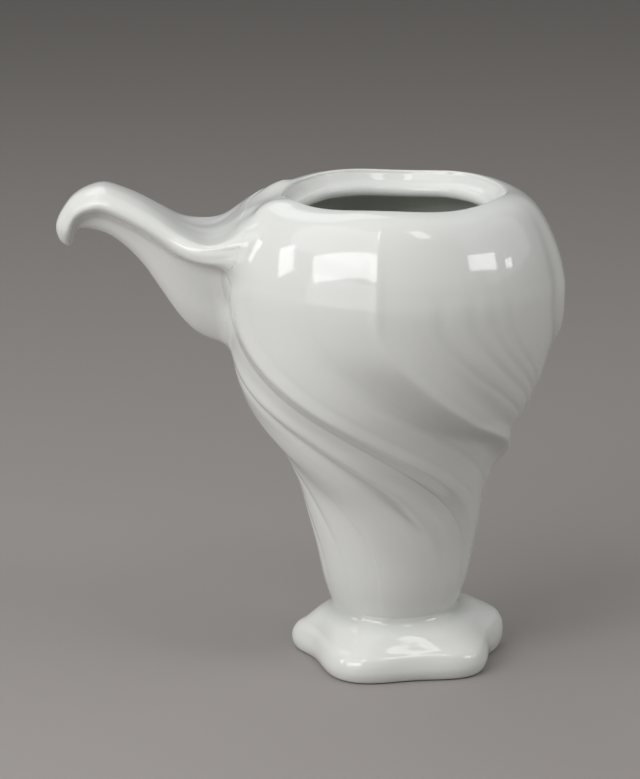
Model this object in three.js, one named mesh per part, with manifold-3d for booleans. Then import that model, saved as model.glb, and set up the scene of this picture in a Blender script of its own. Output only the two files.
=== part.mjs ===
// Porcelain cream jug: a petalled bowl on a lobed foot, with an open, beaked pouring spout.
// Millimetres, +Z up. Each piece is made round the bowl's axis; the spout points along -X, the front is -Y.
import * as THREE from "three";
import { mergeVertices } from "three/addons/utils/BufferGeometryUtils.js";
import Module from "manifold-3d";

// Heights
const jugHeight = 120; // table to the crown of the rim
const bellyHeight = 96; // table to the widest part of the bowl
const footHeight = 13.7; // table to the seam between foot and bowl

// Bowl
const bellyRadius = 42.1;
const waistRadius = 15.8; // the bowl's base, where it is luted to the foot
const crownRadius = 28; // top of the rim
const mouthRadius = 23.6; // clear inside the lip
const lipDepth = 6.6; // crown down to the underside of the rolled lip
const wall = 4;
const stemShift = 0.7; // the stem stands this far out of true, away from the spout
const stemTop = 58; // height at which it is back in line
const stemBottom = 44;
const lean = 0.9; // and its middle this far towards the spout
const leanHeight = 69;
const leanSpread = 18;

// Petals that wrap the bowl: each overlaps the next with a raised, rounded edge
const petals = 5;
const petalStart = -79; // degrees from the front, where the first petal's edge leaves the rim
const petalTwist = 138; // degrees that an edge turns on its way down
const twistTop = 97;
const twistBottom = 24;
const petalRelief = 2.2; // height of a petal's edge over its neighbour, where it is greatest
const riseFrom = -0.01; // where the step up to an edge begins and ends, in shares of a petal's width
const riseTo = 0.17;
const lipRipple = 0.35; // how far the rim rises at each petal's edge
const innerRelief = 0.55; // share of the relief that shows inside
const crowding = 0.09; // how closely the columns gather at a petal's edge
const pleatRelief = 0.75; // second, smaller pleat inside a petal
const pleatPlace = 0.58; // share of the petal's width where it lies
const pleatWidth = 0.09;
const pleatHeights = [34, 48, 70, 84]; // it starts, is full, is full and ends at these heights

// Channel that leads from the mouth, over the rim, into the spout
const spoutAngle = -90; // degrees from the front
const channelDepth = 2.2;
const channelHalfWidth = 8;
const channelBank = 0.9; // height of the soft bank on each side of it
const bankPlace = 12.5; // middle of the channel out to a bank
const channelBottom = 100; // heights between which it fades in
const channelFull = 111;
const channelEdge = 5; // how far in from the belly it has its full depth

// Foot
const lobeReaches = [27.8, 27.5, 26.9, 27.9, 28]; // middle of the foot to the end of each lobe
const hollowReach = 22.3; // middle of the foot to the edge between two lobes
const footShift = new THREE.Vector2(1.8, -0.2); // the foot is luted on a little off the bowl's middle
const footEdge = 6; // height of the foot's rounded edge
const footRing = 3; // width of the flat ring that the jug stands on
const ringInset = 1.8; // edge of the foot in to the ring
const footWall = 3.6;
const seamWidth = 5; // width of the luted seam between foot and bowl
const lobes = [-103, -29, 45, 108, 184]; // degrees from the front
const lobeSpreads = [18, 26, 24, 22, 27];
const skirtLift = 2.7; // the foot's skirt stands higher on one side
const liftPlace = 118; // degrees from the front
const liftSpread = 48;

// Spout
const spoutReach = 42.7; // how far the beak reaches beyond the belly
const spoutRise = 0.75; // crest of the beak's edges over the rim
const spoutDepth = 39; // crest of the beak down to the root of the keel
const lipHalfWidth = 20; // middle of the spout to the crest of its rolled lip, at the root
const keelHalfWidth = 7.4;
const rolledLip = 5.6; // height of the rolled lip
const troughDepth = 3.4; // crest of the lip down to the middle of the channel, at the root
const nearSink = 8; // how much lower the near side of its root lies than the far side
const glueGap = 0.3; // slip joint between spout and bowl

// How finely the surfaces are cut up
const petalColumns = 18;
const bowlRows = 17;
const shoulderRows = 9;
const lipRows = 6;
const innerRows = 15;
const footColumns = 90;
const spoutRows = 36;
const spoutColumns = 52;

const glaze = new THREE.MeshStandardMaterial({ color: 0xe4e5e1, roughness: 0.12, metalness: 0 });

const degrees = Math.PI / 180;
const mix = (a, b, share) => a + (b - a) * share;
const clamp01 = (x) => Math.min(1, Math.max(0, x));
const ramp = (from, to, x) => THREE.MathUtils.smoothstep((x - from) / (to - from), 0, 1);

// Shortest turn between two angles, in degrees
function turn(from, to) {
  return THREE.MathUtils.euclideanModulo(to - from + 180, 360) - 180;
}

// A smooth curve through hand-set knots [x, y], cut into rows
function curveThrough(knots, rows) {
  const curve = new THREE.SplineCurve(knots.map(([x, y]) => new THREE.Vector2(x, y)));
  return curve.getPoints(rows);
}

// Value at share t of a list of evenly spaced knots
function along(knots, t) {
  const curve = new THREE.SplineCurve(knots.map((y, i) => new THREE.Vector2(i, y)));
  return curve.getPoint(clamp01(t)).y;
}

// The bowl's outside, from the seam to the crown: shares of the way up and out
function bowlOutline() {
  const bowl = [
    [0, 0], [0.1, 0.1], [0.23, 0.18], [0.36, 0.275], [0.453, 0.4], [0.575, 0.6], [0.708, 0.828],
    [0.85, 0.957], [1, 1],
  ];
  const shoulder = [
    [0, 1], [0.254, 0.949], [0.466, 0.847], [0.678, 0.693], [0.86, 0.5], [0.96, 0.28], [1, 0],
  ];
  const lower = bowl.map(([up, out]) => [
    mix(waistRadius, bellyRadius, out),
    mix(footHeight, bellyHeight, up),
  ]);
  const upper = shoulder.map(([up, out]) => [
    mix(crownRadius, bellyRadius, out),
    mix(bellyHeight, jugHeight, up),
  ]);
  return [...curveThrough(lower, bowlRows), ...curveThrough(upper, shoulderRows).slice(1)];
}

// The rolled lip, from the crown over the mouth's edge to the underside
function lipOutline() {
  const width = crownRadius - mouthRadius;
  const knots = [
    [1, 0], [0.68, 0.14], [0.34, 0.38], [0.08, 0.6], [0, 0.77], [0.14, 0.93], [0.5, 1], [0.9, 1.02],
  ];
  const places = knots.map(([out, down]) => [mouthRadius + width * out, jugHeight - lipDepth * down]);
  return curveThrough(places, lipRows).slice(1);
}

// The inside, one wall in from the outside, from under the lip down to the floor
function innerOutline(outline) {
  const last = outline.length - 1;
  const offset = [];
  for (let row = 1; row < last; row++) {
    const way = outline[row + 1].clone().sub(outline[row - 1]).normalize();
    const point = outline[row].clone().add(new THREE.Vector2(-way.y, way.x).multiplyScalar(wall));
    offset.push(point);
  }
  const floor = footHeight + wall;
  const kept = offset.filter((p) => p.y < jugHeight - lipDepth && p.y > floor + wall * 0.9).reverse();
  const step = (kept.length - 1) / (innerRows - 1);
  const side = Array.from({ length: innerRows }, (_, i) => kept[Math.round(i * step)]);
  const foot = side[side.length - 1];
  return [
    ...side,
    new THREE.Vector2(foot.x - wall * 0.45, floor + wall * 0.28),
    new THREE.Vector2(foot.x * 0.5, floor),
    new THREE.Vector2(0, floor),
  ];
}

// Angle, from the front, of petal edge number k at a height
function petalEdge(k, z) {
  const down = ramp(twistTop, twistBottom, z);
  return petalStart + (360 / petals) * k + petalTwist * down;
}

// Height of the petals' relief at a share of the way from one edge to the next
function ratchet(share) {
  const place = share > 1 + riseFrom ? share - 1 : share;
  const fall = clamp01((place - riseTo) / (1 + riseFrom - riseTo));
  return ramp(riseFrom, riseTo, place) * (1 - fall) ** 1.2;
}

// How strong the relief is at a height: soft at the rim and on the stem
function reliefAt(z) {
  return petalRelief * along([0, 0.05, 0.32, 0.75, 0.95, 0.78, 0.55, 0.4, 0.07], z / jugHeight);
}

// A second, smaller pleat inside a petal, strongest in the one that ends under the spout
function pleat(k, share, z) {
  const [low, lowFull, highFull, high] = pleatHeights;
  const strength = pleatRelief * (k % petals === petals - 1 ? 1 : 0.3);
  const place = (share - pleatPlace) / pleatWidth;
  return strength * ramp(low, lowFull, z) * ramp(high, highFull, z) * Math.exp(-(place ** 2)) * place;
}

// How far the channel to the spout presses the rim and shoulder down
function channelDrop(angle, radius, z) {
  const off = turn(spoutAngle, angle);
  if (Math.abs(off) > 90) return 0;
  const aside = Math.abs(radius * Math.sin(off * degrees));
  const middle = channelDepth * Math.exp(-((aside / channelHalfWidth) ** 2));
  const bank = channelBank * Math.exp(-(((aside - bankPlace) / (channelHalfWidth / 2)) ** 2));
  const overRim = mix(0.4, 1, ramp(mouthRadius, mix(crownRadius, bellyRadius, 0.2), radius));
  const atRoot = ramp(bellyRadius, bellyRadius - channelEdge, radius);
  return (middle - bank * ramp(crownRadius, bellyRadius, radius + channelEdge)) * overRim * atRoot *
    ramp(channelBottom, channelFull, z);
}

// A lathed outline with every vertex placed anew: place(row, column) gives its [x, y, z]
function skin(outline, columns, place) {
  const geometry = new THREE.LatheGeometry(outline, columns).rotateX(Math.PI / 2);
  const position = geometry.getAttribute("position");
  for (let i = 0; i < position.count; i++) {
    const row = i % outline.length;
    const column = Math.floor(i / outline.length) % columns;
    position.setXYZ(i, ...place(row, column));
  }
  return geometry;
}

// A point at an angle from the front, seen from above
function polar(angle, radius, z) {
  const a = angle * degrees;
  return [radius * Math.sin(a), -radius * Math.cos(a), z];
}

// A lathed outline whose columns follow the petals' edges. share(row) is how much relief each row takes.
function petalled(outline, share, grow = 0) {
  return skin(outline, petals * petalColumns, (row, column) => {
    const { x: radius, y: z } = outline[row];
    if (radius < 1e-6) return [0, 0, z];
    const k = Math.floor(column / petalColumns);
    const even = (column % petalColumns) / petalColumns;
    const across = even - crowding * Math.sin(2 * Math.PI * even);
    const angle = petalEdge(k, z) + (360 / petals) * across;
    const relief = reliefAt(z) * (ratchet(across) - 0.45) + pleat(k, across, z);
    const drop = channelDrop(angle, radius, z);
    const corner = Math.cos(petals * (angle - petalStart) * degrees);
    const ripple = lipRipple * corner * ramp(bellyHeight, jugHeight, z);
    const [x, y, height] = polar(angle, radius + relief * share(row) + grow, z - drop + ripple);
    const bend = lean * Math.exp(-(((z - leanHeight) / leanSpread) ** 2));
    return [x + stemShift * ramp(stemTop, stemBottom, z) - bend, y, height];
  });
}

function bowlGeometry() {
  const outside = bowlOutline();
  const inside = innerOutline(outside);
  const outline = [
    new THREE.Vector2(0, footHeight),
    new THREE.Vector2(waistRadius * 0.55, footHeight),
    ...outside,
    ...lipOutline(),
    ...inside,
  ];
  const firstInner = outline.length - inside.length;
  const seamRows = 3;
  return petalled(outline, (row) => {
    if (row < seamRows) return 0;
    return row < firstInner ? 1 : innerRelief;
  });
}

// The bowl without its hollow, grown by a gap: what the spout's root is cut to
function bowlCutter() {
  const outline = [
    new THREE.Vector2(0, footHeight),
    ...bowlOutline(),
    new THREE.Vector2(mouthRadius, jugHeight - 0.5),
    new THREE.Vector2(0, jugHeight - 0.5),
  ];
  return petalled(outline, () => 1, glueGap);
}

// Reach of the foot's edge at an angle: five rounded lobes
function footReachAt(angle) {
  const lengths = lobes.map((lobe, i) => {
    const near = Math.exp(-((turn(lobe, angle) / lobeSpreads[i]) ** 2));
    return (lobeReaches[i] - hollowReach) * near;
  });
  return lengths.reduce((sum, one) => sum + one, hollowReach);
}

// The foot is an open, flared skirt: seam at the top, flat ring below, hollow inside
function footGeometry() {
  // share of the way from the seam to the edge, millimetres in from there, height
  const rings = [
    [0, seamWidth, footHeight],
    [0, seamWidth - 1.2, footHeight - footWall],
    [0.55, footWall, footEdge * 0.72],
    [1, ringInset + footRing + 1.2, 1.2],
    [1, ringInset + footRing, 0],
    [1, ringInset, 0],
    [1, 0.5, footEdge * 0.18],
    [1, 0, footEdge * 0.55],
    [1, 1.1, footEdge * 0.95],
    [1, 3.2, footEdge + 1.3],
    [0.7, 1.4, footEdge + 2.5],
    [0.42, 0.3, footHeight - 3.5],
    [0.16, 0, footHeight - 1.5],
    [0, 0, footHeight],
    [0, seamWidth, footHeight],
  ];
  const outline = rings.map(([, inset, z]) => new THREE.Vector2(waistRadius + 10 - inset, z));
  return skin(outline, footColumns, (row, column) => {
    const angle = (360 * column) / footColumns;
    const [share, inset, z] = rings[row];
    const [x, y] = polar(angle, mix(waistRadius, footReachAt(angle), share) - inset, z);
    const up = clamp01(z / footHeight);
    const lift = skirtLift * Math.exp(-((turn(liftPlace, angle) / liftSpread) ** 2)) * 4 * up * (1 - up);
    return [x + mix(stemShift, footShift.x, share), y + footShift.y * share, z + lift];
  });
}

// The spout's crest line and keel line: shares of its reach, and of its depth below the crest
const crestLine = [
  [-0.36, 0.05], [-0.2, 0.14], [-0.06, 0.22], [0.05, 0.259], [0.15, 0.261], [0.25, 0.234], [0.36, 0.166],
  [0.47, 0.1], [0.585, 0.046], [0.69, 0.015], [0.775, 0.035], [0.85, 0.085], [0.9, 0.155], [0.938, 0.25],
  [0.928, 0.335], [0.895, 0.376],
];
const keelLine = [
  [-0.16, 1.06], [-0.017, 1.018], [0.067, 0.992], [0.162, 0.938], [0.258, 0.832], [0.358, 0.672],
  [0.456, 0.511], [0.556, 0.39], [0.659, 0.306], [0.749, 0.272], [0.81, 0.262], [0.84, 0.27],
  [0.855, 0.298], [0.865, 0.332], [0.875, 0.365],
];
// Shares of the driving widths, evenly spaced from root to tip
const lipShares = [0.68, 0.8, 0.74, 0.55, 0.44, 0.36, 0.27, 0.18, 0.04];
const keelShares = [0.95, 0.95, 0.95, 0.86, 0.7, 0.57, 0.43, 0.3, 0.07];
const rollShares = [0.8, 0.8, 0.8, 0.82, 0.78, 0.7, 0.6, 0.5, 0.1];
const bulgeShares = [0.05, 0.2, 0.6, 0.95, 1, 1, 1, 1, 1];
// Below 0 the spout's top is a dome
const troughShares = [0.5, 0.35, 0.1, -0.2, -0.38, -0.46, -0.5, -0.4, -0.1];
const sinkShares = [1.1, 0.3, 0.12, 0, 0, 0, 0, 0, 0];

function spoutPoint(line, t) {
  const curve = new THREE.SplineCurve(line.map(([out, down]) => new THREE.Vector2(out, down)));
  const { x, y } = curve.getPoint(clamp01(t));
  return new THREE.Vector2(bellyRadius + x * spoutReach, jugHeight + spoutRise - y * spoutDepth);
}

// Half of the spout's section, from the middle of the trough over the rolled lip to the keel: [aside, down]
function spoutSection(t, depth) {
  const lip = lipHalfWidth * along(lipShares, t);
  const keel = keelHalfWidth * along(keelShares, t);
  const roll = rolledLip * along(rollShares, t);
  const trough = troughDepth * along(troughShares, t);
  const below = depth - roll;
  const bulge = roll * along(bulgeShares, t);
  const under = Math.min(roll, 0.6 * below);
  return [
    [0, trough],
    [0.45 * lip, 0.86 * trough],
    [0.8 * lip, 0.34 * trough],
    [lip, 0.07 * roll],
    [lip + 0.34 * bulge, 0.36 * roll],
    [lip + 0.4 * bulge, 0.72 * roll],
    [lip + 0.12 * bulge, 1.02 * roll],
    [mix(lip, keel, 0.35), roll + 0.2 * under],
    [mix(lip, keel, 0.8), roll + 0.5 * under],
    [keel, roll + 0.42 * below],
    [0.8 * keel, roll + 0.72 * below],
    [0.42 * keel, roll + 0.93 * below],
    [0, depth],
  ];
}

// The spout's skin: its rows are stations from root to tip, its columns go round the section
function spoutGeometry() {
  const stations = Array.from({ length: spoutRows + 1 }, (_, row) => {
    const t = row / spoutRows;
    const crest = spoutPoint(crestLine, t);
    const keel = spoutPoint(keelLine, t);
    const depth = crest.distanceTo(keel);
    const half = spoutSection(t, depth).map(([aside, drop]) => new THREE.Vector2(aside, drop));
    const sink = nearSink * along(sinkShares, t);
    return { crest, down: keel.sub(crest).normalize(), depth, sink, curve: new THREE.SplineCurve(half) };
  });
  const outline = stations.map((_, row) => new THREE.Vector2(row % spoutRows ? 1 : 0, row));
  return skin(outline, spoutColumns, (row, column) => {
    const { crest, down, depth, sink, curve } = stations[row];
    const round = (2 * column) / spoutColumns;
    const point = curve.getPoint(round <= 1 ? round : 2 - round);
    const isEnd = row % spoutRows === 0;
    const aside = isEnd ? 0 : point.x * (round <= 1 ? 1 : -1);
    const lower = round <= 1 ? 0 : sink * ramp(0, 0.8 * lipHalfWidth, point.x);
    const drop = isEnd ? depth / 2 : point.y + lower;
    return [-(crest.x + down.x * drop), aside, crest.y + down.y * drop];
  });
}

const wasm = await Module();
wasm.setup();

function solidOf(geometry) {
  const bare = geometry.clone();
  bare.deleteAttribute("normal");
  bare.deleteAttribute("uv");
  const merged = mergeVertices(bare, 1e-3);
  const mesh = new wasm.Mesh({
    numProp: 3,
    vertProperties: merged.getAttribute("position").array,
    triVerts: new Uint32Array(merged.index.array),
  });
  return new wasm.Manifold(mesh);
}

function geometryOf(solid) {
  const mesh = solid.getMesh();
  const geometry = new THREE.BufferGeometry();
  geometry.setAttribute("position", new THREE.BufferAttribute(mesh.vertProperties, mesh.numProp));
  geometry.setIndex(new THREE.BufferAttribute(mesh.triVerts, 1));
  return geometry;
}

function piece(name, geometry) {
  const mesh = new THREE.Mesh(geometry, glaze.clone());
  mesh.name = name;
  return mesh;
}

const jug = new THREE.Group();
jug.add(piece("bowl", bowlGeometry()));
jug.add(piece("foot", footGeometry()));
const spout = solidOf(spoutGeometry());
jug.add(piece("spout", geometryOf(spout.subtract(solidOf(bowlCutter())))));

// The frame's origin is on the table, under the middle of the whole jug
const middle = new THREE.Box3().setFromObject(jug).getCenter(new THREE.Vector3());
jug.position.set(-middle.x, -middle.y, 0);

export default jug;
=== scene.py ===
import bpy
import bmesh
from math import acos, atan2, cos, degrees, exp, pi, radians, sin
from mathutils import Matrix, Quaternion, Vector
from mathutils.bvhtree import BVHTree
from mathutils.interpolate import poly_3d_calc


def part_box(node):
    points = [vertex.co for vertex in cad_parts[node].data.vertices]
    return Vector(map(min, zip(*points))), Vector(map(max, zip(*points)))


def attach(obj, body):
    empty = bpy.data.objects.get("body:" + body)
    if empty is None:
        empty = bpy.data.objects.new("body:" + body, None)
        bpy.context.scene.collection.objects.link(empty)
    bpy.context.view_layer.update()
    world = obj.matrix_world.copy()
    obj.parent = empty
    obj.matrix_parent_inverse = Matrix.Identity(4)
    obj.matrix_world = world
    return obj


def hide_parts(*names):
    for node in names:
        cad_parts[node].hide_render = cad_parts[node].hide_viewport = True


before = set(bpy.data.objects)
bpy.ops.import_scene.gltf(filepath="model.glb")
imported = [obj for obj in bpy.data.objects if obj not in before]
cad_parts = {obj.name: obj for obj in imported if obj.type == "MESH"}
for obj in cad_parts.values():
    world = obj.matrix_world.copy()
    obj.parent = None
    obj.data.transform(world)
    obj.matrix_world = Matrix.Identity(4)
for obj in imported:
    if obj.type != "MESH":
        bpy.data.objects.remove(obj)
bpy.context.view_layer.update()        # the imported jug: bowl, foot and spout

# Shapes are worked out in millimetres round the bowl's own axis, angles in degrees from the front.
mm = 0.001
tiny = 1e-4        # places nearer than this are one place


# Curves and plain shapes

def mix(a, b, share):
    return a + (b - a) * share


def smooth(low, high, x):        # 0 at low, 1 at high, level at both ends
    t = min(1, max(0, (x - low) / (high - low)))
    return t * t * (3 - 2 * t)


def bump(x, width):        # 1 at 0, falling away on both sides
    return exp(-(x / width) ** 2)


def turn(a, b):        # shortest way from one angle to another
    return (b - a + 180) % 360 - 180


def polar(angle, r, z):
    return Vector((r * sin(radians(angle)), -r * cos(radians(angle)), z))


def catmull(points, t):        # a smooth curve through the points, t from 0 to 1
    spot = min(max(t, 0), 1) * (len(points) - 1)
    i = min(int(spot), len(points) - 2)
    f = spot - i
    p = [Vector(points[min(max(i + k, 0), len(points) - 1)]) for k in (-1, 0, 1, 2)]
    return 0.5 * (2 * p[1] + (p[2] - p[0]) * f + (2 * p[0] - 5 * p[1] + 4 * p[2] - p[3]) * f * f
                  + (3 * p[1] - p[0] - 3 * p[2] + p[3]) * f ** 3)


def rounded(knots, rows):        # places on the curve through the knots, so many rows to a stretch
    last = (len(knots) - 1) * rows
    return [catmull(knots, i / last) for i in range(last + 1)]


def along(values, t):
    return catmull([(v, 0) for v in values], t)[0]


def atHeight(table, z):        # straight lines between the rows of a table
    for (z0, a), (z1, b) in zip(table, table[1:]):
        if z <= z1:
            return mix(a, b, min(1, max(0, (z - z0) / (z1 - z0))))
    return table[-1][1]


def spun(outline, steps, closed=False):        # turned from an outline, each vertex tagged with its row
    bm = bmesh.new()
    rowTag = bm.verts.layers.int.new("row")
    verts = []
    for row, (r, z) in enumerate(outline):
        v = bm.verts.new((0, -r, z))
        v[rowTag] = row
        verts.append(v)
    ends = verts + verts[:1] if closed else verts
    edges = [bm.edges.new(pair) for pair in zip(ends, ends[1:])]
    bmesh.ops.spin(bm, geom=verts + edges, cent=(0, 0, 0), axis=(0, 0, 1), dvec=(0, 0, 0), angle=2 * pi,
                   steps=steps, use_merge=True)
    bmesh.ops.remove_doubles(bm, verts=bm.verts, dist=tiny)
    bmesh.ops.recalc_face_normals(bm, faces=bm.faces)
    return bm, rowTag


# Bowl

bowl = {
    "height": 120, "bellyZ": 96, "baseZ": 13.7,
    "bellyR": 42.1, "waistR": 15.8, "crownR": 28, "mouthR": 23.6,
    "lipDepth": 6.6, "wall": 4.0,
    # the outline in shares: up and out to the belly, up and out to the crown, out and down over the lip
    "lower": [(0, 0), (0.1, 0.1), (0.23, 0.18), (0.36, 0.275), (0.453, 0.4), (0.575, 0.6), (0.708, 0.828),
              (0.85, 0.957), (1, 1)],
    "shoulder": [(0, 1), (0.254, 0.949), (0.466, 0.847), (0.678, 0.693), (0.86, 0.5), (0.96, 0.28),
                 (1, 0)],
    "lip": [(1, 0), (0.82, 0.14), (0.58, 0.37), (0.36, 0.48), (0.16, 0.52), (0.02, 0.63), (0, 0.79),
            (0.14, 0.93), (0.5, 1), (0.9, 1.02)],
    # the floor's corner inside, in walls: how far in from the side and how far up
    "well": [(0.12, 0.55), (0.5, 0.2), (1.2, 0)], "wellTop": 0.9, "lipGap": 0.4,
    "floorRing": 0.4, "baseRing": 0.5,        # a ring in each flat face, in shares of its radius
    "stemShift": 0.7, "stemTop": 58, "stemBottom": 44,        # the stem stands a little out of true
    "lean": 0.9, "leanZ": 69, "leanSpread": 18,
    "columns": 360, "innerRows": 40,
    "lowerRows": 11, "upperRows": 9,        # rows to a stretch between two knots
    "plainRows": 3,        # the rows of the base have no petals
}

petal = {
    "count": 5, "start": -79, "twist": 138, "twistTop": 97, "twistBottom": 24,
    "crowding": 0.09,        # columns gather at a petal's edge
    "corner": 0.35,        # the rim rises a little where a petal starts
    # by height, the rise of an edge over its neighbour
    "step": [(13, 0), (16, 0.12), (30, 0.7), (45, 1.65), (52, 1.95), (60, 2.1), (68, 1.95), (76, 1.7),
             (90, 1.2), (105, 0.85), (115, 0.4), (120, 0.15)],
    # for each edge, by height: where its crest lies and how wide its rise is, in shares of a petal's width
    "crests": [
        [(0, 0.17)],
        [(50, 0.06), (61, -0.02), (65, -0.085), (68, -0.12), (74, -0.09), (80, -0.045), (90, 0.005)],
        [(0, 0.2)], [(0, 0.17)], [(0, 0.17)],
    ],
    "rises": [[(0, 0.18)], [(60, 0.24), (76, 0.3), (90, 0.42)], [(0, 0.145)], [(0, 0.18)], [(0, 0.18)]],
    "fall": 1.2, "middle": 0.45, "bead": 0.15, "beadWidth": 0.07,
    # lower down an edge grows soft and turns into a plain wave, wholly so on the last petal
    "softFrom": [62, 62, 62, 62, 74], "softTo": [36, 36, 36, 36, 50], "softBlend": (0.3, 0.8),
    "softness": [0.7, 0.7, 0.7, 0.7, 1], "wave": 0.4, "waveShift": 0.085,
    # the slow edge rises ever more steeply to a narrow rib, with a valley behind it
    "slowEdge": 1, "slowShare": 0.95, "slowRound": 0.018,
    "rib": 0.3, "ribWidths": [(64, 0.07), (80, 0.055), (92, 0.03)],
    "valley": 0.3, "valleyAt": 0.22, "valleyWidth": 0.09, "valleyTop": (98, 84),
    # glaze pooling and painted shade darken the foot of each rise and fade out below the rim; before the
    # slow edge a broad painted shade darkens its hollow
    "edgePoolAndShade": 0.6, "edgePoolAndShadeAt": 0.98, "edgePoolAndShadeWidth": 0.05, "poolAndShadeTop": (118, 112),
    "slowShade": 0.4, "slowShadeAt": 0.4, "slowShadeWidth": 0.5, "slowShadeTop": (92, 80),
    "slowShadeBottom": (52, 60),
    "flutes": [[0.3, 0.68], [0.29, 0.45, 0.56, 0.66], [0.3, 0.55, 0.76], [0.28, 0.6], [0.5, 0.68]],
    "fluteDepths": [0.07, 0.2, 0.17, 0.17, 0.08], "fluteWidth": 0.03,
    "fluteTop": (106, 94), "fluteBottom": (14, 40),
    # a fold with a bank beside it runs down each petal, deepest on the last one; glaze pooling and painted
    # shade darken the fold
    "foldAt": 0.58, "foldDepth": 0.95, "foldWidth": 0.05, "bankAt": 0.14, "bankWidth": 0.1,
    "foldTop": (86, 68), "foldBottom": (30, 46), "foldShares": [0.2, 0.2, 0.2, 0.2, 1], "foldPoolAndShade": 0.5,
    "insideShare": 0.45,        # how much of the relief shows inside
}

channel = {
    "angle": -90, "drop": 2.2, "halfWidth": 8, "bank": 0.9, "bankPlace": 12.5,
    "bottom": 100, "full": 111, "edge": 5, "overRim": 0.4, "rimEnd": 0.2,
    # pleats where the spout leaves the shoulder: how far aside they run, and how wide and deep they are
    "pleats": [-3, 6.5, 12], "pleatWidth": 2.8, "pleatDepth": 0.15,
    "pleatOuter": (-56, -48), "pleatInner": (-30, -36), "pleatBottom": (101, 105),
    "pleatSpread": 0.08, "pleatMiddle": -46,
}


def bowlOutline():        # radius and height from the base, over crown and lip, to the floor inside
    b = bowl
    wall, innerRows = b["wall"], b["innerRows"]
    knots = [(mix(b["waistR"], b["bellyR"], out), mix(b["baseZ"], b["bellyZ"], up))
             for up, out in b["lower"]]
    knots += [(mix(b["crownR"], b["bellyR"], out), mix(b["bellyZ"], b["height"], up))
              for up, out in b["shoulder"][1:]]
    crown = len(knots) - 1
    knots += [(mix(b["mouthR"], b["crownR"], out), b["height"] - down * b["lipDepth"])
              for out, down in b["lip"][1:]]
    spots = []
    for i in range(len(knots) - 1):
        rows = b["lowerRows"] if i < len(b["lower"]) - 1 else b["upperRows"]
        spots += [i + n / rows for n in range(rows)]
    skin = [tuple(catmull(knots, spot / (len(knots) - 1))) for spot in spots]
    outside = [place for spot, place in zip(spots, skin) if spot <= crown]
    lip = skin[len(outside):] + [knots[-1]]
    floor = b["baseZ"] + wall
    inside = []
    for before, here, after in zip(outside, outside[1:], outside[2:]):
        way = Vector((after[0] - before[0], after[1] - before[1])).normalized()
        r, z = here[0] - way.y * wall, here[1] + way.x * wall
        if floor + b["wellTop"] * wall < z < b["height"] - b["lipDepth"] - b["lipGap"]:
            inside.append((r, z))
    inside = [inside[round(i * (len(inside) - 1) / innerRows)] for i in range(innerRows, -1, -1)]
    bottom = inside[-1][0]
    well = [(bottom - aside * wall, floor + up * wall) for aside, up in b["well"]]
    well += [(b["floorRing"] * bottom, floor), (0, floor)]
    base = [(0, b["baseZ"]), (b["baseRing"] * b["waistR"], b["baseZ"])]
    return base + outside + lip + inside + well, len(base + outside), len(base + outside + lip)


def petalTurn(z):
    return petal["twist"] * smooth(petal["twistTop"], petal["twistBottom"], z)


def petalHeight(k, share, z):        # a petal falls from its crest and climbs to the next one, 0 to 1
    p = petal
    this, following = k % p["count"], (k + 1) % p["count"]
    crest, nextCrest = atHeight(p["crests"][this], z), 1 + atHeight(p["crests"][following], z)
    if share > nextCrest:
        return petalHeight(k + 1, share - 1, z)
    if share < crest:
        return petalHeight(k - 1, share + 1, z)
    low = nextCrest - atHeight(p["rises"][following], z)
    if share < low:
        return (1 - (share - crest) / (low - crest)) ** p["fall"]
    up = (share - low) / (nextCrest - low)
    return up * up if following == p["slowEdge"] else smooth(0, 1, up)


def petalRelief(k, share, z):        # millimetres out from the plain bowl, and how strongly glaze pooling and painted shade darken the place
    p = petal
    this, following = k % p["count"], (k + 1) % p["count"]
    step = atHeight(p["step"], z)
    crest, nextCrest = atHeight(p["crests"][this], z), 1 + atHeight(p["crests"][following], z)
    ahead = share >= nextCrest - atHeight(p["rises"][following], z)
    edge = following if ahead else this        # the edge this place belongs to
    near = share - (nextCrest if ahead else crest)
    rise = atHeight(p["rises"][edge], z)
    slow = edge == p["slowEdge"]
    height = petalHeight(k, share, z)
    if slow:
        around = petalHeight(k, share - p["slowRound"], z) + petalHeight(k, share + p["slowRound"], z)
        height = p["slowShare"] * (height / 2 + around / 4)
        height += p["rib"] * bump(near, atHeight(p["ribWidths"], z))
        valley = bump(near - p["valleyAt"], p["valleyWidth"]) * smooth(*p["valleyTop"], z)
        height -= p["valley"] * valley
    else:
        height += p["bead"] * bump(near, p["beadWidth"])
    phase = (share - crest - p["waveShift"]) / (nextCrest - crest)
    wave = 0.5 + p["wave"] * cos(2 * pi * phase)
    soft = [smooth(p["softFrom"][e], p["softTo"][e], z) for e in (this, following)]
    softness = p["softness"][this] * mix(soft[0], soft[1], smooth(*p["softBlend"], share))
    out = step * (mix(height, wave, softness) - p["middle"] - p["bead"])
    # darkening: broad painted shade in the slow edge's hollow, glaze pooling and painted shade at the foot
    # of the other rises
    if slow:
        poolAndShade = p["slowShade"] * bump(near + p["slowShadeAt"] * rise, p["slowShadeWidth"] * rise)
        poolAndShade *= smooth(*p["slowShadeTop"], z) * smooth(*p["slowShadeBottom"], z)
    else:
        poolAndShade = p["edgePoolAndShade"] * bump(near + p["edgePoolAndShadeAt"] * rise, p["edgePoolAndShadeWidth"])
        poolAndShade *= min(1, step) * (1 - softness)
    # flutes and the fold are darkened along their grooves with glaze pooling and painted shade
    deep = p["fluteDepths"][this] * smooth(*p["fluteBottom"], z) * smooth(*p["fluteTop"], z)
    for flute in p["flutes"][this]:
        dip = deep * bump(share - flute, p["fluteWidth"])
        out -= dip
        poolAndShade += dip
    strength = p["foldShares"][this] * smooth(*p["foldTop"], z) * smooth(*p["foldBottom"], z)
    fold = strength * bump(share - p["foldAt"], p["foldWidth"])
    bank = strength * bump(share - p["foldAt"] - p["bankAt"], p["bankWidth"])
    return out + p["foldDepth"] * (bank - fold), poolAndShade + p["foldPoolAndShade"] * fold


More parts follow.
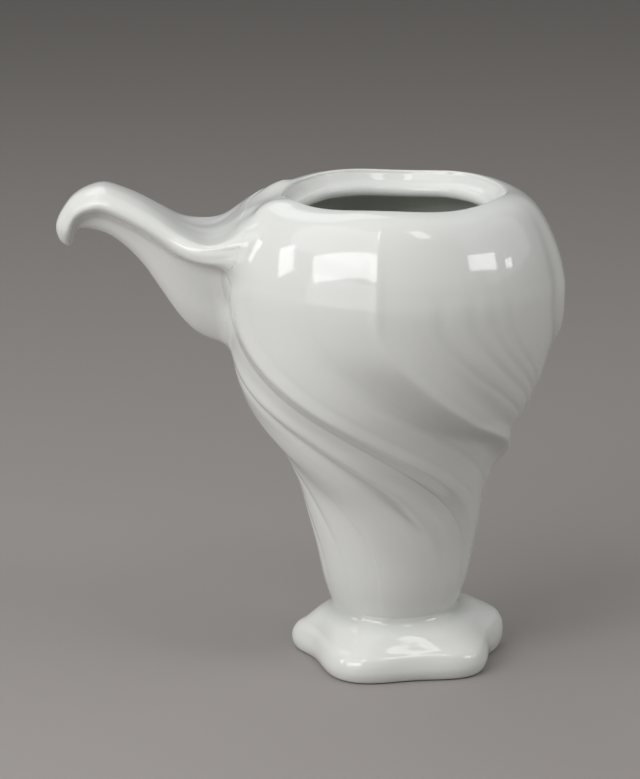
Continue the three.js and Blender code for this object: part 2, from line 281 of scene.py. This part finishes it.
def channelDrop(angle, r, z):        # the low place in the rim where the spout's channel starts
    c = channel
    off = turn(c["angle"], angle)
    if abs(off) > 90:        # the far half of the bowl
        return 0
    aside = abs(r * sin(radians(off)))
    bank = c["bank"] * bump(aside - c["bankPlace"], c["halfWidth"] / 2)
    bank *= smooth(bowl["crownR"], bowl["bellyR"], r + c["edge"])
    rimEnd = mix(bowl["crownR"], bowl["bellyR"], c["rimEnd"])
    there = mix(c["overRim"], 1, smooth(bowl["mouthR"], rimEnd, r))
    there *= smooth(bowl["bellyR"], bowl["bellyR"] - c["edge"], r) * smooth(c["bottom"], c["full"], z)
    return (c["drop"] * bump(aside, c["halfWidth"]) - bank) * there


def makeBowl():
    b, p = bowl, petal
    outline, _, firstInside = bowlOutline()
    bm, rowTag = spun(outline, b["columns"])
    poolAndShadeTag = bm.verts.layers.float.new("poolAndShade")
    perPetal = b["columns"] // p["count"]
    for v in bm.verts:
        row = v[rowTag]
        r, z = outline[row]
        if r < tiny:
            continue
        column = round(atan2(v.co.x, -v.co.y) / (2 * pi) * b["columns"]) % b["columns"]
        k, even = column // perPetal, (column % perPetal) / perPetal
        share = even - p["crowding"] * sin(2 * pi * even)
        angle = p["start"] + (k + share) * 360 / p["count"] + petalTurn(z)
        out, poolAndShade = petalRelief(k, share, z)
        if row < b["plainRows"]:
            out = 0
        poolAndShade *= smooth(*p["poolAndShadeTop"], z)
        # the inside is darkened all over with painted shade, and its relief is fainter
        if row >= firstInside:
            out *= p["insideShare"]
            poolAndShade = 1
        ripple = cos(radians(p["count"] * (angle - p["start"]))) * smooth(b["bellyZ"], b["height"], z)
        v.co = polar(angle, r + out, z - channelDrop(angle, r, z) + p["corner"] * ripple)
        v.co.x += b["stemShift"] * smooth(b["stemTop"], b["stemBottom"], z)
        v.co.x -= b["lean"] * bump(z - b["leanZ"], b["leanSpread"])
        v[poolAndShadeTag] = poolAndShade
    return bm


# Foot

foot = {
    "hollow": 22.3,
    # angle, reach and spread of each lobe
    "lobes": [(-103, 27.8, 18), (-29, 27.5, 26), (45, 26.9, 24), (108, 27.9, 22), (184, 28, 27)],
    "shift": (1.8, -0.2), "lift": 2.7, "liftAngle": 118, "liftSpread": 48,
    # share of the way from stem to edge, millimetres in from there, height
    "outside": [(1, 1.8, 0), (1, 0.75, 0.5), (1, 0.12, 1.9), (1, 0, 3.3), (1, 0.4, 4.8), (1, 1.5, 6.3),
                (1, 3.2, 7.4), (0.7, 1.4, 8.6), (0.42, 0.3, 10.3), (0.2, 0, 11.8), (0.07, 0, 12.9),
                (0.01, 0, 14.2), (0, 0.25, 15.4)],
    "under": [(0, 3.4, 14.6), (0, 4.6, 13.6), (0, 4.4, 11.5), (0.2, 3.9, 7.6), (0.6, 4, 4.2),
              (0.9, 4.9, 2.2), (1, 5.6, 0.9), (1, 4.8, 0)],
    "collar": 0.2,        # how much wider than the stem it starts
    "blur": 0.3,        # toward the stem the lobes grow wider and run together
    "full": 28, "thinFrom": 3, "thinTo": 6,        # between the lobes the upper roll is thinner
    # glaze pooling and painted shade darken the fillet round the stem, and a little the underside
    "poolAndShade": 0.9, "poolAndShadeWidth": 0.24, "poolAndShadeUnder": 0.1,
    "columns": 260, "rows": 5,
}


def footReach(angle, wider):
    return foot["hollow"] + sum((reach - foot["hollow"]) * bump(turn(lobe, angle), spread * wider)
                                for lobe, reach, spread in foot["lobes"])


def makeFoot():
    f = foot
    under, outside = rounded(f["under"], f["rows"]), rounded(f["outside"], f["rows"])
    rings = under + outside
    blank = [(10 + row, 0.1 * row) for row in range(len(rings))]        # a plain ring, shaped below
    bm, rowTag = spun(blank, f["columns"], closed=True)
    poolAndShadeTag = bm.verts.layers.float.new("poolAndShade")
    stem = bowl["waistR"] + f["collar"]
    for v in bm.verts:
        angle = degrees(atan2(v.co.x, -v.co.y))
        share, inset, z = rings[v[rowTag]]
        reach = footReach(angle, 1 + f["blur"] * (1 - share))
        thin = mix(1, (reach - stem) / (f["full"] - stem), smooth(f["thinFrom"], f["thinTo"], z))
        up = min(1, z / bowl["baseZ"])
        lift = f["lift"] * bump(turn(f["liftAngle"], angle), f["liftSpread"]) * 4 * up * (1 - up)
        v.co = polar(angle, mix(stem, reach, share) - inset * thin, z + lift)
        v.co.x += mix(bowl["stemShift"], f["shift"][0], share)
        v.co.y += f["shift"][1] * share
        # painted shade with glaze pooling: darker in the fillet at the stem and a little underneath
        v[poolAndShadeTag] = f["poolAndShadeUnder"] if v[rowTag] < len(under) else f["poolAndShade"] * bump(share, f["poolAndShadeWidth"])
    bmesh.ops.recalc_face_normals(bm, faces=bm.faces)
    return bm


# Spout

spout = {
    "reach": 42.64, "rise": 0.745, "depth": 39,
    "lipHalf": 20, "keelHalf": 7.4, "roll": 5.6, "trough": 3.4,
    # shares of reach and depth, out from the belly and down from the top
    "crest": [(-0.36, 0.05), (-0.2, 0.14), (-0.06, 0.22), (0.05, 0.259), (0.15, 0.261), (0.25, 0.234),
              (0.36, 0.166), (0.47, 0.1), (0.585, 0.046), (0.69, 0.015), (0.775, 0.035), (0.85, 0.085),
              (0.9, 0.155), (0.938, 0.25), (0.928, 0.335), (0.895, 0.376)],
    "keel": [(-0.16, 1.06), (-0.017, 1.018), (0.067, 0.992), (0.162, 0.938), (0.258, 0.832),
             (0.358, 0.672), (0.456, 0.511), (0.556, 0.39), (0.659, 0.306), (0.749, 0.272), (0.81, 0.262),
             (0.84, 0.27), (0.855, 0.298), (0.865, 0.332), (0.875, 0.365)],
    # from root to tip, in shares of the sizes above
    "lipWidths": [0.68, 0.8, 0.74, 0.55, 0.44, 0.36, 0.27, 0.18, 0.04],
    "keelWidths": [0.95, 0.95, 0.95, 0.86, 0.7, 0.57, 0.43, 0.3, 0.07],
    "rollHeights": [0.8, 0.8, 0.8, 0.82, 0.78, 0.7, 0.6, 0.5, 0.1],
    "bulges": [0.05, 0.2, 0.6, 0.95, 1, 1, 1, 1, 1],
    "troughDepths": [0.5, 0.35, 0.1, -0.2, -0.38, -0.46, -0.5, -0.4, -0.1],        # below 0 it is a dome
    # the near side of the root lies lower
    "nearSink": 8, "sinks": [0.85, 0.3, 0.12, 0, 0, 0, 0, 0, 0], "sinkSide": 0.8,
    "columns": 140, "rows": 150, "capRows": 8, "crowding": 1.25,
    "samples": 120, "rootSamples": 60, "rootRounds": 6,        # how the root's line on the bowl is found
    "tip": 83.39,        # from the bowl's axis to the end of the beak
    "bury": 2.6,        # how deep the root ends in the bowl's wall
    # how widely it melts into the bowl, widest in the middle of these heights
    "meltLow": 3.4, "meltHigh": 9, "meltBottom": (92, 102), "meltTop": (119, 112),
    "meltRight": -12, "meltFloor": 70, "meltRounds": 5, "leastSlope": 0.3, "meltPoolAndShade": 0.1,
    "holdFrom": 0.75, "holdTo": 0.3,        # in shares of the buried depth, where a skin starts to melt
    "dipRate": 0.08, "dipMost": 0.8, "coverSpan": (0.4, 0.15),
}


def spoutSection(t):        # crest, way down and half outline of the spout at a share of its length
    s = spout
    top = bowl["height"] + s["rise"]
    crest, keel = [Vector((-bowl["bellyR"] - out * s["reach"], top - down * s["depth"]))
                   for out, down in (catmull(s["crest"], t), catmull(s["keel"], t))]
    deep = (keel - crest).length
    lip, flank = s["lipHalf"] * along(s["lipWidths"], t), s["keelHalf"] * along(s["keelWidths"], t)
    roll, trough = s["roll"] * along(s["rollHeights"], t), s["trough"] * along(s["troughDepths"], t)
    below = deep - roll
    bulge, under = roll * along(s["bulges"], t), min(roll, 0.6 * below)
    # trough, rolled lip, the hollow under it, flank and keel: how far aside and how far down
    half = [(0, trough), (0.45 * lip, 0.86 * trough), (0.8 * lip, 0.34 * trough), (lip, 0.07 * roll),
            (lip + 0.34 * bulge, 0.36 * roll), (lip + 0.4 * bulge, 0.72 * roll),
            (lip + 0.12 * bulge, 1.02 * roll), (mix(lip, flank, 0.35), roll + 0.2 * under),
            (mix(lip, flank, 0.8), roll + 0.5 * under), (flank, roll + 0.42 * below),
            (0.8 * flank, roll + 0.72 * below), (0.42 * flank, roll + 0.93 * below), (0, deep)]
    return crest, (keel - crest).normalized(), half


def spoutPoint(t, around):        # around runs from the trough, over the far side, to the keel and back
    s = spout
    crest, down, half = spoutSection(t)
    ring = 2 * around
    aside, drop = catmull(half, ring if ring <= 1 else 2 - ring)
    if ring > 1:
        drop += s["nearSink"] * along(s["sinks"], t) * smooth(0, s["sinkSide"] * s["lipHalf"], aside)
    spot = crest + down * drop
    return Vector((spot.x, aside if ring <= 1 else -aside, spot.y))


class Skin:        # a surface to measure from, with its own vertex normals
    touching = 0.05        # nearer than this the normal says which way is out

    def __init__(self, bm, keep=lambda v: True):
        bm.normal_update()
        bm.verts.ensure_lookup_table()
        self.spots = [v.co.copy() for v in bm.verts]
        self.ways = [v.normal.copy() for v in bm.verts]
        self.faces = [[v.index for v in f.verts] for f in bm.faces if all(keep(v) for v in f.verts)]
        self.tree = BVHTree.FromPolygons(self.spots, self.faces)

    def gap(self, p):        # how far a point stands off, and which way is out
        place, _, face, _ = self.tree.find_nearest(p)
        corners = self.faces[face]
        shares = poly_3d_calc([self.spots[i] for i in corners], place)
        way = sum((self.ways[i] * share for i, share in zip(corners, shares)), Vector()).normalized()
        off = p - place
        distance = off.length
        if distance < self.touching:
            return off.dot(way), way
        return (distance, off / distance) if off.dot(way) > 0 else (-distance, -off / distance)


def makeSpout(bowlSkin):
    s = spout
    n, samples = s["columns"], s["samples"]
    ts = [i / samples for i in range(samples + 1)]

    def start(around):        # how far along a column comes out of the bowl's wall
        offs = [bowlSkin.gap(spoutPoint(t, around))[0] + s["bury"] for t in ts[:s["rootSamples"]]]
        last = max((i for i, off in enumerate(offs) if off < 0), default=0)
        return mix(ts[last], ts[last + 1], min(1, max(0, -offs[last] / (offs[last + 1] - offs[last]))))

    starts = [start(c / n) for c in range(n)]
    for _ in range(s["rootRounds"]):
        starts = [(starts[c - 1] + 2 * starts[c] + starts[(c + 1) % n]) / 4 for c in range(n)]
    rows = s["rows"] - s["capRows"]
    lines = [[spoutPoint(mix(starts[c], 1, (i / rows) ** s["crowding"]), c / n) for i in range(rows + 1)]
             for c in range(n)]
    middle = sum((line[0] for line in lines), Vector()) / len(lines)
    bm = bmesh.new()
    bmesh.ops.create_uvsphere(bm, u_segments=n, v_segments=s["rows"], radius=1)
    for v in bm.verts:
        row = round(acos(min(1, max(-1, v.co.z))) / pi * s["rows"])
        c = round(atan2(v.co.y, v.co.x) / (2 * pi) * n) % n
        if row < s["capRows"]:
            p = middle.lerp(lines[c][0], row / s["capRows"])
            off, normal = bowlSkin.gap(p)
            v.co = p - normal * (off + s["bury"])
        else:
            v.co = lines[c][row - s["capRows"]]
    bmesh.ops.recalc_face_normals(bm, faces=bm.faces)
    return bm


def melt(bm, ownSkin, otherSkin, lastRow=None, cover=None):        # one surface runs softly into the other
    s = spout
    poolAndShadeTag = bm.verts.layers.float["poolAndShade"]
    rowTag = bm.verts.layers.int.get("row")
    for v in bm.verts:
        if v.co.x > s["meltRight"] or v.co.z < s["meltFloor"] or (rowTag and v[rowTag] > lastRow):
            continue
        middle = smooth(*s["meltBottom"], v.co.z) * smooth(*s["meltTop"], v.co.z)
        width = mix(s["meltLow"], s["meltHigh"], middle)
        other, _ = otherSkin.gap(v.co)
        if other > width:
            continue
        hold = smooth(-s["holdFrom"] * s["bury"], -s["holdTo"] * s["bury"], other)
        p = v.co.copy()
        for _ in range(s["meltRounds"]):
            a, aWay = ownSkin.gap(p)
            b, bWay = otherSkin.gap(p)
            h = min(1, max(0, 0.5 + 0.5 * (b - a) / width))
            away = aWay * h + bWay * (1 - h)
            p -= away * (mix(b, a, h) - width * h * (1 - h)) / max(s["leastSlope"], away.length_squared)
        a, aWay = ownSkin.gap(p)        # past the middle of the seam this skin dips under the other
        b, _ = otherSkin.gap(p)
        dip = min(s["dipMost"], s["dipRate"] * max(0, a - b) ** 2)
        if cover:
            dip *= smooth(*s["coverSpan"], abs(cover.gap(p)[0]))
        p -= aWay * dip
        v.co = v.co.lerp(p, hold)
        # the seam is darkened a little with glaze pooling and painted shade
        v[poolAndShadeTag] += s["meltPoolAndShade"] * hold * smooth(width, 0, other)


def pleat(bm):        # the folds that run from the spout up the bowl's shoulder
    c = channel
    for v in bm.verts:
        x, y, z = v.co
        there = smooth(*c["pleatOuter"], x) * smooth(*c["pleatInner"], x) * smooth(*c["pleatBottom"], z)
        spread = 1 + c["pleatSpread"] * (x - c["pleatMiddle"])
        for aside in c["pleats"]:
            v.co.z -= c["pleatDepth"] * there * bump(y - aside * spread, c["pleatWidth"])


# Materials

class Wire:        # a shader socket that sums can be written with
    def __init__(self, tree, socket=None):
        self.tree = tree
        self.socket = socket

    def make(self, kind, settings={}, values={}, out=0):
        node = self.tree.nodes.new(kind)
        for name, value in settings.items():
            setattr(node, name, value)
        for name, value in values.items():
            if isinstance(value, Wire):
                self.tree.links.new(value.socket, node.inputs[name])
            else:
                node.inputs[name].default_value = value
        return Wire(self.tree, node.outputs[out] if node.outputs else None)

    def sum(self, operation, a, b):
        return self.make("ShaderNodeMath", {"operation": operation}, {0: a, 1: b})

    def __add__(self, other):
        return self.sum("ADD", self, other)

    def __radd__(self, other):
        return self.sum("ADD", other, self)

    def __sub__(self, other):
        return self.sum("SUBTRACT", self, other)

    def __rsub__(self, other):
        return self.sum("SUBTRACT", other, self)

    def __mul__(self, other):
        return self.sum("MULTIPLY", self, other)

    def __rmul__(self, other):
        return self.sum("MULTIPLY", other, self)


def blended(wire, mask, a, b):        # colour a where the mask is 0, b where it is 1
    return wire.make("ShaderNodeMix", {"data_type": "RGBA"}, {"Factor": mask, 6: a, 7: b}, out=2)


def noise(wire, place, scale, detail):
    return wire.make("ShaderNodeTexNoise", {}, {"Vector": place, "Scale": scale, "Detail": detail})


porcelain = {
    # pooled is the glaze's grey-green where it pools, and also the colour of painted shade in creases and
    # inside
    "white": (0.78, 0.79, 0.765, 1), "pooledAndShaded": (0.54, 0.56, 0.51, 1), "thin": (0.83, 0.825, 0.79, 1),
    "biscuit": (0.72, 0.68, 0.61, 1), "iron": (0.16, 0.12, 0.09, 1),
    "gloss": 0.06, "cloudRoughness": 0.03, "bareRoughness": 0.62, "ior": 1.5,
    "cloudScale": 28.0, "waveScale": 95.0, "grainScale": 900.0, "speckScale": 90.0,
    "cloudPool": 0.25, "poolAndShadeShare": 0.8, "thinFrom": 0.55, "thinTo": 0.8, "thinShare": 0.5,
    "speckSize": 0.02, "speckRarity": 0.975, "speckShare": 0.6,
    "waveHeight": 0.6, "cloudHeight": 0.4, "grainHeight": 0.5, "bump": 0.12, "bumpDistance": 0.0006,
    "bareFrom": 0.0006, "bareTo": 0.0003, "bareWander": 0.0003,        # metres over the table
}


def glazed(name, bare=False):
    c = porcelain
    material = bpy.data.materials.new(name)
    material.use_nodes = True
    tree = material.node_tree
    tree.nodes.clear()
    w = Wire(tree)
    place = w.make("ShaderNodeTexCoord", out=3)
    poolAndShade = w.make("ShaderNodeAttribute", {"attribute_name": "poolAndShade"}, out=2)
    cloud = noise(w, place, c["cloudScale"], 3.0)
    wave = noise(w, place, c["waveScale"], 2.0)
    grain = noise(w, place, c["grainScale"], 2.0)
    # the darkening attribute mixes white toward the darker colour: glaze pooling and painted shade in
    # creases, painted shade all over the inside
    pooledAndShaded = w.make("ShaderNodeMath", {"operation": "MULTIPLY", "use_clamp": True},
                    {0: poolAndShade + c["cloudPool"] * (cloud - 0.5), 1: c["poolAndShadeShare"]})
    colour = blended(w, pooledAndShaded, c["white"], c["pooledAndShaded"])
    thin = w.make("ShaderNodeMapRange", {}, {
        "Value": cloud, "From Min": c["thinFrom"], "From Max": c["thinTo"]})
    colour = blended(w, c["thinShare"] * thin, colour, c["thin"])
    cells = w.make("ShaderNodeTexVoronoi", {}, {"Vector": place, "Scale": c["speckScale"]})
    chance = w.make("ShaderNodeTexVoronoi", {}, {"Vector": place, "Scale": c["speckScale"]}, out=1)
    chance = w.make("ShaderNodeSeparateColor", {}, {"Color": chance})
    small = w.make("ShaderNodeMath", {"operation": "LESS_THAN"}, {0: cells, 1: c["speckSize"]})
    rare = w.make("ShaderNodeMath", {"operation": "GREATER_THAN"}, {0: chance, 1: c["speckRarity"]})
    colour = blended(w, c["speckShare"] * (small * rare), colour, c["iron"])
    rough = c["gloss"] + c["cloudRoughness"] * cloud
    height = c["waveHeight"] * wave + c["cloudHeight"] * cloud
    if bare:        # the standing ring is free of glaze
        z = w.make("ShaderNodeSeparateXYZ", {}, {"Vector": place}, out=2)
        biscuit = w.make("ShaderNodeMapRange", {}, {"Value": z + c["bareWander"] * (wave - 0.5),
                                                     "From Min": c["bareFrom"], "From Max": c["bareTo"]})
        colour = blended(w, biscuit, colour, blended(w, grain, c["biscuit"], c["thin"]))
        rough = rough + biscuit * (c["bareRoughness"] - c["gloss"])
        height = height + c["grainHeight"] * biscuit * grain
    bumped = w.make("ShaderNodeBump", {}, {
        "Height": height, "Strength": c["bump"], "Distance": c["bumpDistance"]})
    shader = w.make("ShaderNodeBsdfPrincipled", {}, {
        "Base Color": colour, "Roughness": rough, "Normal": bumped, "IOR": c["ior"]})
    w.make("ShaderNodeOutputMaterial", {}, {"Surface": shader})
    return material


# Pieces

spoutLow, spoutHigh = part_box("spout")
bowlAxis = Vector((spoutLow.x + spout["tip"] * mm, (spoutLow.y + spoutHigh.y) / 2, 0))


def settle(bm, name, node, material):        # from millimetres round the bowl's axis to the frame's metres
    if bm.calc_volume(signed=True) < 0:        # inside out
        bmesh.ops.reverse_faces(bm, faces=bm.faces)
    bmesh.ops.scale(bm, vec=(mm, mm, mm), verts=bm.verts)
    bmesh.ops.translate(bm, vec=bowlAxis, verts=bm.verts)
    mesh = bpy.data.meshes.new(name)
    bm.to_mesh(mesh)
    bm.free()
    for face in mesh.polygons:
        face.use_smooth = True
    piece = bpy.data.objects.new(name, mesh)
    bpy.context.scene.collection.objects.link(piece)
    mesh.materials.append(material)
    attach(piece, "root")
    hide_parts(node)
    return piece


bowlMesh = makeBowl()
bowlRow = bowlMesh.verts.layers.int["row"]
_, crownRow, insideRow = bowlOutline()
lipRow = (crownRow + insideRow) // 2
bowlSkin = Skin(bowlMesh, lambda v: 1 < v[bowlRow] <= lipRow)        # its outside and half the lip
print("bowl", len(bowlMesh.faces))
spoutMesh = makeSpout(bowlSkin)
spoutMesh.verts.layers.float.new("poolAndShade")
spoutSkin = Skin(spoutMesh)
melt(spoutMesh, spoutSkin, bowlSkin)
melt(bowlMesh, bowlSkin, spoutSkin, crownRow, Skin(spoutMesh))
pleat(bowlMesh)
pleat(spoutMesh)
print("spout", len(spoutMesh.faces))
footMesh = makeFoot()
print("foot", len(footMesh.faces))
settle(bowlMesh, "porcelain_bowl", "bowl", glazed("bowlGlaze"))
settle(spoutMesh, "porcelain_spout", "spout", glazed("spoutGlaze"))
settle(footMesh, "porcelain_foot", "foot", glazed("footGlaze", bare=True))


# Studio

studio = {
    "floor": (0.335, 0.312, 0.298, 1), "floorRoughness": 0.7, "floorSize": 12.0,
    "ambient": (0.96, 0.96, 0.95, 1), "ambientStrength": 0.2, "horizonShare": 0.36, "skyTop": 0.6,
    "aim": (0, 0, 95),
    # azimuth and elevation from the bowl, distance, width, height, roll, radiance
    "lamps": {
        "window": (-43, 27.5, 0.62, 0.44, 0.17, 18, 5.2),
        "strip": (-82, 20, 0.62, 0.11, 0.16, 35, 5.2),
        "sideBox": (68, 24.5, 0.7, 0.24, 0.11, -16, 6.5),
        "sideStrip": (88, 16, 0.7, 0.07, 0.05, -16, 6.5),
        "topLeft": (-22, 59, 0.7, 0.09, 0.2, 0, 3.8),
        "topRight": (34, 59, 0.7, 0.11, 0.2, 0, 3.8),
        "overhead": (-60, 46, 0.95, 0.9, 0.6, 0, 1.25),
        "zenith": (30, 80, 1.2, 1.8, 1.5, 0, 0.27),
        "low": (-42, 11, 1.3, 1.0, 0.4, 0, 1.35),
        "fill": (92, 30, 1.0, 0.9, 0.7, 0, 0.6),
        "back": (-150, 52, 0.9, 0.6, 0.4, 0, 1.3),
    },
}


def makeFloor():
    bm = bmesh.new()
    bmesh.ops.create_grid(bm, x_segments=1, y_segments=1, size=studio["floorSize"])
    mesh = bpy.data.meshes.new("floor")
    bm.to_mesh(mesh)
    bm.free()
    floor = bpy.data.objects.new("floor", mesh)
    bpy.context.scene.collection.objects.link(floor)
    material = bpy.data.materials.new("floorPaint")
    material.use_nodes = True
    shader = material.node_tree.nodes["Principled BSDF"]
    shader.inputs["Base Color"].default_value = studio["floor"]
    shader.inputs["Roughness"].default_value = studio["floorRoughness"]
    mesh.materials.append(material)


def makeSky():        # darker toward the horizon
    world = bpy.data.worlds.new("studio")
    world.use_nodes = True
    world.node_tree.nodes.clear()
    w = Wire(world.node_tree)
    up = w.make("ShaderNodeSeparateXYZ", {}, {"Vector": w.make("ShaderNodeTexCoord")}, out=2)
    lift = w.make("ShaderNodeMapRange", {"interpolation_type": "SMOOTHSTEP"}, {
        "Value": up, "From Min": 0.0, "From Max": studio["skyTop"], "To Min": studio["horizonShare"]})
    strength = studio["ambientStrength"] * lift
    sky = w.make("ShaderNodeBackground", {}, {"Color": studio["ambient"], "Strength": strength})
    w.make("ShaderNodeOutputWorld", {}, {"Surface": sky})
    bpy.context.scene.world = world


def makeLamps():
    aim = Vector(studio["aim"]) * mm + bowlAxis
    for name, (azimuth, elevation, distance, width, height, roll, radiance) in studio["lamps"].items():
        lamp = bpy.data.lights.new(name, "AREA")
        lamp.shape = "RECTANGLE"
        lamp.size, lamp.size_y = width, height
        lamp.energy = radiance * width * height * pi
        spot = bpy.data.objects.new(name, lamp)
        bpy.context.scene.collection.objects.link(spot)
        way = polar(azimuth, cos(radians(elevation)), sin(radians(elevation)))
        spot.location = aim + way * distance
        facing = (-way).to_track_quat("-Z", "Y") @ Quaternion((0, 0, 1), radians(roll))
        spot.rotation_euler = facing.to_euler()


view = {
    "place": (-18.25, -777.2, 273.12), "pitch": 14.7, "lens": 148.53, "sensor": 36,
    "near": 0.05, "far": 20,
}


def makeCamera():
    lens = bpy.data.cameras.new("camera")
    lens.lens = view["lens"]
    lens.sensor_width = view["sensor"]
    lens.clip_start, lens.clip_end = view["near"], view["far"]
    camera = bpy.data.objects.new("camera", lens)
    bpy.context.scene.collection.objects.link(camera)
    camera.location = Vector(view["place"]) * mm + bowlAxis
    camera.rotation_euler = (radians(90 - view["pitch"]), 0, 0)
    bpy.context.scene.camera = camera


makeFloor()
makeSky()
makeLamps()
makeCamera()
bpy.context.scene.view_settings.view_transform = "Standard"
print("studio done")
